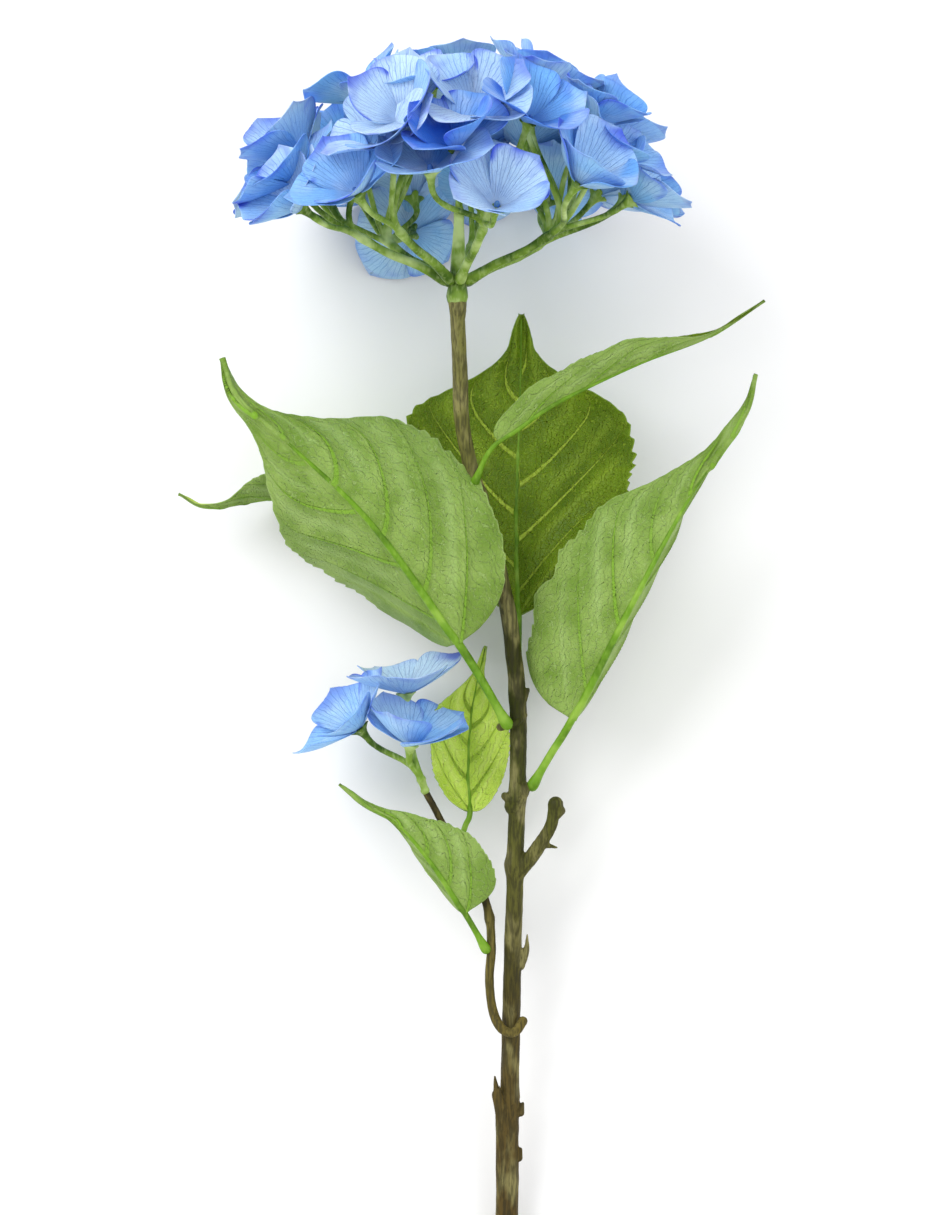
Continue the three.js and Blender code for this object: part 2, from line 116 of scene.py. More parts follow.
def tube(path, radius, sides=12):
    """A tube with rounded ends along a path, as points and faces."""
    path = np.asarray(path, float)
    radius = np.broadcast_to(np.asarray(radius, float), (len(path),)).copy()
    tangent = unit(np.gradient(path, axis=0))
    for end, step in ((0, -1), (-1, 1)):
        caps = [path[end] + tangent[end] * step * radius[end] * math.sin(a) for a in CAP_ANGLES]
        shrink = [radius[end] * math.cos(a) for a in CAP_ANGLES]
        if step < 0:
            path, radius = np.vstack([caps[::-1], path]), np.concatenate([shrink[::-1], radius])
        else:
            path, radius = np.vstack([path, caps]), np.concatenate([radius, shrink])
    tangent = unit(np.gradient(path, axis=0))
    across = np.cross(tangent[0], [0.3, 0.2, 1.0])
    rings = []
    angle = np.linspace(0, FULL_TURN, sides, endpoint=False)[:, None]
    for p, t, r in zip(path, tangent, radius):
        across = unit(across - t * (across @ t))
        up = np.cross(t, across)
        rings.append(p + r * (np.cos(angle) * across + np.sin(angle) * up))
    faces = strips(len(path), sides, True)
    first = np.arange(sides)[::-1]
    last = np.arange(sides) + (len(path) - 1) * sides
    return np.vstack(rings), [*faces.tolist(), first.tolist(), last.tolist()]


def together(parts):
    """Several bodies as one list of points and faces."""
    points, faces, start = [], [], 0
    for p, f in parts:
        points.append(p)
        faces += [[i + start for i in face] for face in f]
        start += len(p)
    return np.vstack(points), faces


def mesh_of(name, points, faces):
    mesh = bpy.data.meshes.new(name)
    mesh.from_pydata(points.tolist(), [], faces)
    mesh.update()
    return mesh


def fused(parts, voxel, rounds=3):
    """Overlapping bodies melted into one smooth surface, as points and faces."""
    mesh = mesh_of("fusing", *together(parts))
    thing = bpy.data.objects.new("fusing", mesh)
    bpy.context.scene.collection.objects.link(thing)
    remesh = thing.modifiers.new("remesh", "REMESH")
    remesh.mode = "VOXEL"
    remesh.voxel_size = voxel
    soften = thing.modifiers.new("soften", "SMOOTH")
    soften.factor = 0.5
    soften.iterations = rounds
    out = bpy.data.meshes.new_from_object(thing.evaluated_get(bpy.context.evaluated_depsgraph_get()))
    points = np.empty(len(out.vertices) * 3, np.float32)
    out.vertices.foreach_get("co", points)
    normals = np.empty(len(out.vertices) * 3, np.float32)
    out.vertices.foreach_get("normal", normals)
    faces = [list(p.vertices) for p in out.polygons]
    bpy.data.objects.remove(thing)
    bpy.data.meshes.remove(mesh)
    bpy.data.meshes.remove(out)
    return points.reshape(-1, 3).astype(float), normals.reshape(-1, 3).astype(float), faces


def sheet(surface, over, under):
    """A thin solid from a grid of points: over and under are how far its two faces lie from the grid, along its
    normal. The first half of the points are the upper face."""
    rows, columns, _ = surface.shape
    normal = unit(np.cross(np.gradient(surface, axis=0), np.gradient(surface, axis=1)))
    count = rows * columns
    top = (surface + normal * over[..., None]).reshape(-1, 3)
    bottom = (surface - normal * under[..., None]).reshape(-1, 3)
    grid = strips(rows, columns, False)
    rim = np.concatenate([
        np.arange(columns),
        np.arange(1, rows) * columns + columns - 1,
        (rows - 1) * columns + np.arange(columns - 1)[::-1],
        np.arange(1, rows - 1)[::-1] * columns,
    ])
    after = np.roll(rim, -1)
    edge = np.stack([rim, rim + count, after + count, after], 1)
    faces = np.vstack([grid, grid[:, ::-1] + count, edge])
    sides = np.concatenate([np.zeros(len(grid), int), np.ones(len(grid) + len(edge), int)])
    return np.vstack([top, bottom]), faces, sides


def piece(name, points, faces, materials, node, sides=None, values=None, uv=None):
    """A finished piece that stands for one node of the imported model."""
    mesh = mesh_of(name, lay(points), faces if isinstance(faces, list) else faces.tolist())
    for material in materials:
        mesh.materials.append(material)
    if sides is not None:
        mesh.polygons.foreach_set("material_index", np.asarray(sides, np.int32))
    for key, data in (values or {}).items():
        mesh.attributes.new(key, "FLOAT", "POINT").data.foreach_set("value", np.asarray(data, np.float32))
    if uv is not None:
        corner = np.empty(len(mesh.loops), np.int32)
        mesh.loops.foreach_get("vertex_index", corner)
        mesh.uv_layers.new(name="surface").data.foreach_set("uv", uv[corner].astype(np.float32).ravel())
    mesh.polygons.foreach_set("use_smooth", np.ones(len(mesh.polygons), bool))
    thing = bpy.data.objects.new(name, mesh)
    bpy.context.scene.collection.objects.link(thing)
    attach(thing, "root")
    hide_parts(node)


# ---- Materials ----


def srgb(r, g, b):
    """A colour given as it looks on a screen, 0 to 255, as Blender wants it."""
    return tuple((c / 255 / 12.92) if c <= 10 else ((c / 255 + 0.055) / 1.055) ** 2.4 for c in (r, g, b)) + (1.0,)


class Look:
    """Builds one node material."""

    def __init__(self, name, **settings):
        self.material = bpy.data.materials.new(name)
        self.material.use_nodes = True
        self.tree = self.material.node_tree
        self.shader = self.tree.nodes["Principled BSDF"]
        for key, value in settings.items():
            self.shader.inputs[key].default_value = value

    def node(self, kind, inputs=None, **settings):
        made = self.tree.nodes.new(kind)
        for key, value in settings.items():
            setattr(made, key, value)
        for key, value in (inputs or {}).items():
            self.put(made.inputs[key], value)
        return made

    def put(self, socket, value):
        if isinstance(value, bpy.types.NodeSocket):
            self.tree.links.new(value, socket)
        else:
            socket.default_value = value

    def value(self, key):
        return self.node("ShaderNodeAttribute", attribute_name=key).outputs["Fac"]

    def here(self, scale=(1, 1, 1)):
        place = self.node("ShaderNodeTexCoord").outputs["Object"]
        return self.node("ShaderNodeMapping", {"Vector": place, "Scale": scale}).outputs["Vector"]

    def uv(self, scale=(1, 1, 1)):
        place = self.node("ShaderNodeUVMap", uv_map="surface").outputs["UV"]
        return self.node("ShaderNodeMapping", {"Vector": place, "Scale": scale}).outputs["Vector"]

    def noise(self, where, scale, detail=3.0, rough=0.5):
        inputs = {"Vector": where, "Scale": scale, "Detail": detail, "Roughness": rough}
        return self.node("ShaderNodeTexNoise", inputs).outputs["Fac"]

    def cells(self, where, scale, feature="DISTANCE_TO_EDGE"):
        made = self.node("ShaderNodeTexVoronoi", {"Vector": where, "Scale": scale}, feature=feature)
        return made.outputs["Distance"]

    def math(self, operation, a, b=0.0):
        return self.node("ShaderNodeMath", {0: a, 1: b}, operation=operation).outputs[0]

    def range(self, value, low, high, to_low=0.0, to_high=1.0):
        made = self.node(
            "ShaderNodeMapRange",
            {"Value": value, "From Min": low, "From Max": high, "To Min": to_low, "To Max": to_high},
            interpolation_type="SMOOTHSTEP",
        )
        return made.outputs["Result"]

    def mix(self, share, a, b):
        made = self.node("ShaderNodeMix", data_type="RGBA", blend_type="MIX")
        self.put(made.inputs["Factor"], share)
        self.put(made.inputs["A"], a)
        self.put(made.inputs["B"], b)
        return made.outputs["Result"]

    def ramp(self, value, stops):
        made = self.node("ShaderNodeValToRGB", {"Fac": value})
        elements = made.color_ramp.elements
        elements[0].position, elements[0].color = stops[0]
        elements[1].position, elements[1].color = stops[-1]
        for position, colour in stops[1:-1]:
            elements.new(position).color = colour
        return made.outputs["Color"]

    def bump(self, *layers):
        normal = None
        for height, distance in layers:
            made = self.node("ShaderNodeBump", {"Height": height, "Strength": 1.0, "Distance": distance * MM})
            if normal is not None:
                self.tree.links.new(normal, made.inputs["Normal"])
            normal = made.outputs["Normal"]
        self.tree.links.new(normal, self.shader.inputs["Normal"])

    def paint(self, colour, roughness=None):
        self.tree.links.new(colour, self.shader.inputs["Base Color"])
        if roughness is not None:
            self.tree.links.new(roughness, self.shader.inputs["Roughness"])
        return self.material


def bark_look(name, stops, low, high, streak):
    """Woody skin whose colour changes along Y, with lengthwise streaks, pores and fine cracks."""
    look = Look(name, **{"Roughness": 0.62, "Specular IOR Level": 0.16})
    place = look.node("ShaderNodeTexCoord").outputs["Object"]
    along = look.node("ShaderNodeSeparateXYZ", {"Vector": place}).outputs["Y"]
    wander = look.math("MULTIPLY_ADD", look.noise(look.here(), 60.0, 2.0), 0.03)
    wander.node.inputs[2].default_value = -0.015
    base = look.ramp(look.range(look.math("ADD", along, wander), low, high), stops)
    fibres = look.noise(look.here((900, 60, 900)), 1.0, 5.0, 0.6)
    patches = look.noise(look.here((120, 60, 120)), 1.0, 3.0)
    pores = look.range(look.cells(look.here((700, 330, 700)), 1.0, "F1"), 0.06, 0.2, 1.0, 0.0)
    colour = look.mix(look.range(patches, 0.42, 0.66, 0.0, 0.68), base, streak)
    colour = look.mix(look.range(fibres, 0.4, 0.62, 0.62, 0.0), colour, srgb(34, 32, 12))
    colour = look.mix(look.math("MULTIPLY", pores, 0.45), colour, srgb(46, 38, 20))
    look.bump((fibres, 0.35), (pores, 0.1), (patches, 0.4))
    return look.paint(colour, look.range(fibres, 0.3, 0.7, 0.5, 0.75))


def leaf_look(name, blade, deep, light, vein, rough, relief, netting):
    """One face of a leaf: raised side veins, rungs of fine veins between them and a faint net in the rest. The
    blade's own attributes say where it lies: phase counts the side veins, pitch is the distance between two of
    them and away is the share of the way from the midrib to the edge."""
    look = Look(name, **{"Specular IOR Level": 0.2, "Subsurface Weight": 0.06, "Subsurface Scale": 0.002})
    look.shader.inputs["Subsurface Radius"].default_value = (0.4, 1.0, 0.15)
    phase, away, inside = look.value("phase"), look.value("away"), look.value("inside")
    patches = look.noise(look.uv(), 0.06, 3.0)
    grain = look.noise(look.uv(), 2.2, 3.0)
    wander = look.noise(look.uv(), 0.22, 2.0)
    # Distance in millimetres to the nearest side vein
    beside = look.math("ABSOLUTE", look.math("SUBTRACT", look.math("FRACT", look.math("ADD", phase, 0.5)), 0.5))
    near = look.math("MULTIPLY", beside, look.value("pitch"))
    girth = look.range(away, 0.0, 0.85, 1.25, 0.3)
    thin = look.math("DIVIDE", near, girth)
    narrow = look.range(thin, 0.45, 1.0, 1.0, 0.0)
    side_vein = look.math("MULTIPLY", narrow, look.range(away, 0.55, 0.92, 1.0, 0.35))
    side_vein = look.math("MULTIPLY", side_vein, inside)
    # Rungs that join the side veins
    across = look.node("ShaderNodeSeparateXYZ", {"Vector": look.uv()}).outputs["X"]
    bow = look.math("MULTIPLY", look.math("SINE", look.math("MULTIPLY", phase, FULL_TURN)), 1.1)
    bowed = look.math("ADD", look.math("MULTIPLY", across, 0.95), bow)
    turn = look.math("ADD", bowed, look.math("MULTIPLY", wander, 9.0))
    rung = look.range(look.math("ABSOLUTE", look.math("SINE", turn)), 0.0, 0.36, 1.0, 0.0)
    rung = look.math("MULTIPLY", rung, look.range(away, 0.02, 0.1))
    net = look.range(look.cells(look.uv(), 0.55), 0.0, 0.08, 1.0, 0.0)
    fine = look.range(look.cells(look.uv(), 1.5), 0.0, 0.12, 1.0, 0.0)
    bulge = look.value("bulge")
    colour = look.mix(look.range(patches, 0.35, 0.65), blade, deep)
    # Painted highlight: the crests of the quilted bulges between the side veins are painted lighter
    colour = look.mix(look.range(bulge, 0.35, 1.0, 0.0, 0.42), colour, light)
    colour = look.mix(look.math("MULTIPLY", net, netting), colour, light)
    colour = look.mix(look.math("MULTIPLY", fine, netting * 0.35), colour, vein)
    colour = look.mix(look.math("MULTIPLY", rung, min(netting * 2.2, 0.7)), colour, light)
    # Painted shade: a darker band along either side of each side vein, where the grooves beside it lie in shade
    colour = look.mix(look.range(thin, 0.8, 2.6, 0.28, 0.0), colour, deep)
    colour = look.mix(look.math("MULTIPLY", side_vein, 0.85), colour, vein)
    colour = look.mix(look.range(grain, 0.4, 0.7, 0.0, 0.1), colour, light)
    # Painted highlight: the very edge of the blade is painted lighter
    colour = look.mix(look.range(away, 0.975, 0.995, 0.0, 0.5), colour, light)
    look.bump(
        (side_vein, relief * 4.5), (rung, relief * 2.4), (net, relief), (fine, relief * 0.3), (grain, 0.05)
    )
    return look.paint(colour, look.range(grain, 0.3, 0.7, rough - 0.06, rough + 0.08))


def stalk_look(name, dark, middle, light):
    look = Look(name, **{"Roughness": 0.42, "Specular IOR Level": 0.2, "Subsurface Weight": 0.1})
    look.shader.inputs["Subsurface Radius"].default_value = (0.6, 1.0, 0.2)
    look.shader.inputs["Subsurface Scale"].default_value = 0.0015
    patches = look.noise(look.here(), 70.0, 3.0)
    fibres = look.noise(look.here((700, 250, 700)), 1.0, 3.0)
    colour = look.mix(look.range(patches, 0.36, 0.52), dark, middle)
    colour = look.mix(look.range(patches, 0.5, 0.7, 0.0, 0.9), colour, light)
    colour = look.mix(look.range(fibres, 0.45, 0.75, 0.0, 0.35), colour, light)
    look.bump((fibres, 0.12), (patches, 0.25))
    return look.paint(colour, look.range(fibres, 0.3, 0.7, 0.36, 0.5))


def petal_look(name, pale, body, deep, rim, line):
    """Petal skin: pale towards the middle, deeper towards a violet rim, with fine veins that fan out and fork."""
    look = Look(name, **{"Specular IOR Level": 0.15, "Sheen Weight": 0.06, "Subsurface Weight": 0.15})
    look.shader.inputs["Subsurface Radius"].default_value = (0.5, 0.8, 1.0)
    look.shader.inputs["Subsurface Scale"].default_value = 0.0012
    out = look.node("ShaderNodeSeparateXYZ", {"Vector": look.uv()}).outputs["Y"]
    tone_and_shade, reach, edge = look.value("tone_and_shade"), look.value("reach"), look.value("edge")
    cloud = look.noise(look.here(), 55.0, 2.0)
    uneven = look.math("MULTIPLY", look.noise(look.here(), 120.0, 2.0), 0.3)
    wobble = look.noise(look.uv((3.2, 4.0, 1)), 1.0, 2.0)
    def fan(count, bend):
        across = look.node("ShaderNodeSeparateXYZ", {"Vector": look.uv()}).outputs["X"]
        turned = look.math("ADD", across, look.math("MULTIPLY", wobble, bend))
        wave = look.math("SINE", look.math("MULTIPLY", turned, count))
        return look.math("ABSOLUTE", wave)
    coarse = look.range(fan(16.0, 0.22), 0.0, 0.3, 1.0, 0.0)
    fine = look.range(fan(37.0, 0.35), 0.0, 0.45, 1.0, 0.0)
    net = look.range(look.cells(look.uv((13, 9, 1)), 1.0), 0.0, 0.07, 1.0, 0.0)
    fade = look.math("MULTIPLY", look.range(out, 0.05, 0.2), look.range(out, 0.7, 0.98, 1.0, 0.15))
    # Tone: each floret's own pale to deep blue, and painted shade, a deeper blue, on the florets that lie deep
    # between their neighbours
    colour = look.mix(look.range(tone_and_shade, 0.0, 0.55), pale, body)
    colour = look.mix(look.range(tone_and_shade, 0.5, 1.0), colour, deep)
    colour = look.mix(look.range(out, 0.02, 0.42, 0.55, 0.0), colour, line)
    colour = look.mix(look.range(cloud, 0.42, 0.66, 0.0, 0.55), colour, pale)
    blotch = look.range(look.noise(look.here(), 75.0, 1.0), 0.4, 0.6)
    outer = look.range(look.math("ADD", reach, uneven), 0.74, 1.16)
    band = look.math("MULTIPLY", outer, look.math("MULTIPLY", edge, blotch))
    thin_edge = look.range(reach, 0.93, 1.0, 0.0, 0.45)
    band = look.math("MAXIMUM", band, look.math("MULTIPLY", thin_edge, edge))
    colour = look.mix(band, colour, rim)
    colour = look.mix(look.math("MULTIPLY", look.math("MULTIPLY", coarse, fade), 0.5), colour, line)
    colour = look.mix(look.math("MULTIPLY", look.math("MULTIPLY", fine, fade), 0.24), colour, line)
    colour = look.mix(look.math("MULTIPLY", look.math("MULTIPLY", net, fade), 0.22), colour, line)
    cloth = look.noise(look.here(), 2600.0, 2.0)
    look.bump((coarse, -0.12), (fine, -0.05), (cloth, 0.05))
    return look.paint(colour, look.range(cloth, 0.3, 0.7, 0.5, 0.66))


bark = bark_look(
    "bark",
    [
        (0.0, srgb(82, 66, 30)), (0.12, srgb(88, 74, 34)), (0.24, srgb(72, 66, 26)), (0.4, srgb(90, 90, 38)),
        (0.52, srgb(70, 74, 24)), (0.62, srgb(46, 50, 9)), (0.76, srgb(56, 58, 14)), (0.88, srgb(86, 86, 34)),
        (1.0, srgb(122, 120, 62)),
    ],
    -0.26, 0.16, srgb(146, 140, 90),
)
shoot_bark = bark_look(
    "shoot_bark",
    [(0.0, srgb(100, 88, 38)), (0.45, srgb(88, 84, 32)), (0.7, srgb(58, 48, 20)), (1.0, srgb(36, 29, 16))],
    -0.15, -0.05, srgb(128, 116, 60),
)
leaf_under = leaf_look(
    "leaf_under", srgb(138, 166, 80), srgb(110, 142, 48), srgb(168, 194, 120), srgb(120, 166, 34),
    0.5, 0.13, 0.2,
)
leaf_over = leaf_look(
    "leaf_over", srgb(110, 140, 18), srgb(82, 112, 6), srgb(158, 186, 58), srgb(196, 222, 78),
    0.28, -0.2, 0.36,
)
young_leaf = leaf_look(
    "young_leaf", srgb(200, 228, 90), srgb(174, 206, 64), srgb(218, 236, 130), srgb(118, 152, 26),
    0.4, -0.1, 0.26,
)
leaf_stalk = stalk_look("leaf_stalk", srgb(80, 118, 16), srgb(102, 146, 26), srgb(142, 178, 66))
flower_stalk = stalk_look("flower_stalk", srgb(66, 98, 18), srgb(118, 150, 48), srgb(196, 216, 142))
petal_front = petal_look(
    "petal_front", srgb(194, 222, 248), srgb(122, 184, 243), srgb(40, 108, 218), srgb(60, 86, 218),
    srgb(24, 80, 176),
)
petal_back = petal_look(
    "petal_back", srgb(184, 216, 246), srgb(128, 188, 244), srgb(52, 118, 222), srgb(78, 108, 222),
    srgb(64, 122, 206),
)
heart = stalk_look("heart", srgb(46, 84, 150), srgb(74, 120, 190), srgb(120, 160, 120))


# ---- Woody stem and side shoot ----

STEM = [
    (15.5, 0, 0), (16.4, 61, 0.5), (17.2, 112, 0), (18.9, 179, -0.5), (20.2, 242, 0), (16, 288, 0), (5, 332, 0.5),
    (-2.9, 364, 0), (-4.4, 395, 0), (-5.4, 420, 0),
]
STEM_RADIUS = (4.2, 3.1)
# Share of the length, and swelling
STEM_NODES = [(0.2, 0.35), (0.43, 1.0), (0.5, 0.7), (0.6, 0.35), (0.8, 0.6)]
STEM_NODE_LENGTH = 0.008  # share of the stem's length
STEM_STEPS = 160
SHOOT = [
    (22, 117, 5.5), (18.4, 112.6, 8), (13, 114.4, 7.4), (9.4, 122, 3), (8.2, 135, 1), (9, 148, 0.5), (7.4, 164, 0),
    (1, 180.5, 0), (-9, 195.5, 1), (-18.6, 212.8, 3),
]
SHOOT_RADIUS = 2.15
SHOOT_TAPER = 0.75  # how much thinner it gets towards its flowers
SHOOT_NODES = [(0.5, 0.5), (0.78, 0.5)]
SHOOT_NODE_LENGTH = 0.02
SHOOT_STEPS = 90


BARK_WAVES = ((9, 0.5, 3.5), (4, 0.32, 4), (1.7, 0.2, 3))  # size, share of the push, stretch along the stem
WAVES_OF_A_SIZE = 7
PUSH_SCALE = 3.2  # brings the sum of one size's waves back to about its share


def roughened(points, normals, amount, seed):
    """Woody skin pushed in and out: long ribs, knots and small pits, from sums of waves."""
    rng = np.random.default_rng(seed)
    push = np.zeros(len(points))
    for size, share, stretch in BARK_WAVES:
        for _ in range(WAVES_OF_A_SIZE):
            direction = unit(rng.normal(size=3)) / (1, stretch, 1)
            push += share / PUSH_SCALE * np.sin(points @ direction * (FULL_TURN / size) + rng.uniform(0, 6.3))
    return points + normals * (push * amount)[:, None]


def plain_tube(points, start, end, steps=10, sides=12):
    return tube(spline(points, steps), np.linspace(start, end, steps + 1), sides)


path = spline(STEM, STEM_STEPS)
share = np.linspace(0, 1, STEM_STEPS + 1)
radius = STEM_RADIUS[0] + (STEM_RADIUS[1] - STEM_RADIUS[0]) * share
for at, swell in STEM_NODES:
    radius = radius + swell * np.exp(-(((share - at) / STEM_NODE_LENGTH) ** 2))
parts = [
    tube(path, radius, 20),
    plain_tube([(-5, 412, 0), (-5.3, 420, 0)], 3.3, 4.1, 4),
    plain_tube([(19.5, 178, 0), (27.5, 188, 2), (33.5, 198, 3), (35.2, 206, 3)], 3.5, 2.5, 12),
    plain_tube([(34.6, 201, 3), (35.8, 207.6, 3)], 2.3, 3.3, 4),
    plain_tube([(34.6, 201, 3.4), (38.4, 205, 3.8)], 1.5, 1.7, 4),
    plain_tube([(30, 191, 3), (36.4, 189.6, 4.4)], 1.8, 0.5, 5),
    plain_tube([(11.8, 0, 3), (13.4, 40, 3.4), (13, 74, 3), (11.4, 86, 2.4)], 3.2, 2.4, 30),
    plain_tube([(12, 82, 2.4), (11.4, 86, 2.3), (10.4, 93.5, 2)], 2.4, 0.5, 8),
    plain_tube([(13.5, 80, 4), (12.2, 90, 4.4)], 1.4, 0.5, 4),
    plain_tube([(21, 140, 1), (23.4, 146, 1.4), (24, 153, 1.4)], 2.3, 0.5, 8),
    plain_tube([(21.4, 78, 1), (22.2, 82, 1)], 1.6, 0.8, 4),
    plain_tube([(20.6, 59, 1.4), (21.2, 63, 1.4)], 1.4, 0.8, 4),
    plain_tube([(18.4, 207, 0), (21.6, 214, 1.5)], 4.4, 3.9, 5),
    plain_tube([(14.6, 211, 1), (18.4, 209, 3.4), (23, 212.6, 2.4)], 1.9, 1.5, 8),
    plain_tube([(21.6, 250, 0), (24.2, 255.6, 1)], 2, 0.9, 4),
    plain_tube([(12.6, 240, 3.4), (19, 241.6, 4), (23, 245, 1)], 1.7, 1.3, 8),
]
points, normals, faces = fused(parts, 0.42)
points = roughened(points, normals, 0.32, 4)
points[:, 1] = np.maximum(points[:, 1], 0)
piece("stem_bark", points, faces, [bark], "main_stem")

path = spline(SHOOT, SHOOT_STEPS)
share = np.linspace(0, 1, SHOOT_STEPS + 1)
radius = SHOOT_RADIUS - SHOOT_TAPER * share
for at, swell in SHOOT_NODES:
    radius = radius + swell * np.exp(-(((share - at) / SHOOT_NODE_LENGTH) ** 2))
points, normals, faces = fused([tube(path, radius, 16)], 0.3)
points = roughened(points, normals, 0.2, 9)
piece("side_shoot_bark", points, faces, [shoot_bark], "side_shoot")


# ---- Leaves ----

LEAVES = {
    "leaf_left_large": dict(
        midrib=[(15.4, 241.5, 5), (-4, 274, 15), (-40, 324, 26), (-74, 357, 25), (-96, 377, 19), (-103, 394, 15)],
        petiole=40, half_width=50, turn=(150, 172, 190), fold=26, belly=0.38, pairs=5.5, seed=1, over=leaf_over,
    ),
    "leaf_back": dict(
        midrib=[
            (20.5, 244, -4.6), (20, 270, -8), (20.2, 289, -15), (19.8, 330, -30), (21.5, 380, -34), (22, 416, -30),
        ],
        petiole=44, half_width=54, turn=(0, 0, 0), fold=12, belly=0.53, pairs=5.5, seed=2, over=leaf_over,
    ),
    "leaf_right": dict(
        midrib=[
            (26.2, 215.5, 2), (34, 229, 4), (43, 244, 6), (65, 288, 16), (91, 336, 18), (114, 369, 10),
            (119.7, 388, 4),
        ],
        petiole=32, half_width=40, turn=(207, 209, 213), fold=42, belly=0.29, pairs=5.5, seed=3, over=leaf_over,
        scallop=0.035,
    ),
    "leaf_upper_right": dict(
        midrib=[
            (2.2, 343, 4), (8.6, 356, 9), (21, 366, 12), (38, 377, 14), (70, 392, 10), (101, 404, 4), (124, 419, 0),
        ],
        petiole=20, half_width=12, turn=(262, 268, 320), fold=50, belly=0.36, pairs=4.5, seed=4, over=leaf_over,
    ),
    "leaf_upper_left": dict(
        midrib=[
            (-4.4, 340, -2.4), (-20, 340, -12), (-50, 341, -26), (-86, 337, -30), (-112, 333, -30), (-125, 339, -30),
        ],
        petiole=22, half_width=23, turn=(94, 96, 98), fold=12, belly=0.4, pairs=5, seed=5, over=young_leaf,
    ),
    "leaf_shoot_upper": dict(
        midrib=[(-5.4, 188, -1.4), (-2, 198, -6), (0, 204, -8), (-0.8, 222, -12), (1, 248, -14), (6.6, 274, -10)],
        petiole=18, half_width=19, turn=(8, 1, -6), fold=14, belly=0.42, pairs=5, seed=6, over=young_leaf,
    ),
    "leaf_shoot_lower": dict(
        midrib=[(6.6, 147, 3), (-3.4, 164.5, 8), (-16, 184, 13), (-30, 200, 14), (-44, 208, 12), (-54.6, 216.6, 10)],
        petiole=18, half_width=21, turn=(146, 148, 150), fold=30, belly=0.2, pairs=5, seed=7, over=leaf_over,
    ),
}
LEAF_CURL = 14  # degrees that each half bends between the midrib and the edge
LEAF_THICKNESS = 0.55
LEAF_ROWS, LEAF_COLUMNS = 190, 121
LEAF_EDGE = 0.12  # half the thickness at the very edge
MIDRIB_SAMPLES = 600
STALK_STEPS = 110
STALK_END = 0.985  # share of the midrib that the stalk's tube runs along
BLADE_SPAN = (0.004, 0.998)  # share of the midrib's bladed part that the blade covers
BLADE_SHOULDERS = 0.55
TIP_NARROWING = 0.8
TIP_SPAN = (0.62, 0.9)
VEIN_SLANT = 0.4  # share of the leaf's length that a side vein climbs on its way to the edge
TEETH = 25
TOOTH = 0.02  # depth of a tooth over the half-width
TOOTH_PEAK = 0.82  # share of a tooth's length at which it is highest
VEIN_SPACING = 0.72  # a side vein's distance to the next one, square to both, over their spacing on the midrib


def leaf_outline(share, belly):
    along = share ** (math.log(0.5) / math.log(belly))
    body = np.sin(math.pi * along) ** BLADE_SHOULDERS
    return body * (1 - TIP_NARROWING * smooth(*TIP_SPAN, along))


def leaf_frames(path, turn):
    along = unit(np.gradient(path, axis=0))
    front = unit(np.array([0, 0, 1.0]) - along * along[:, 2:3])
    beside = np.cross(along, front)
    upper = front * np.cos(turn)[:, None] + beside * np.sin(turn)[:, None]
    return along, upper, np.cross(along, upper)


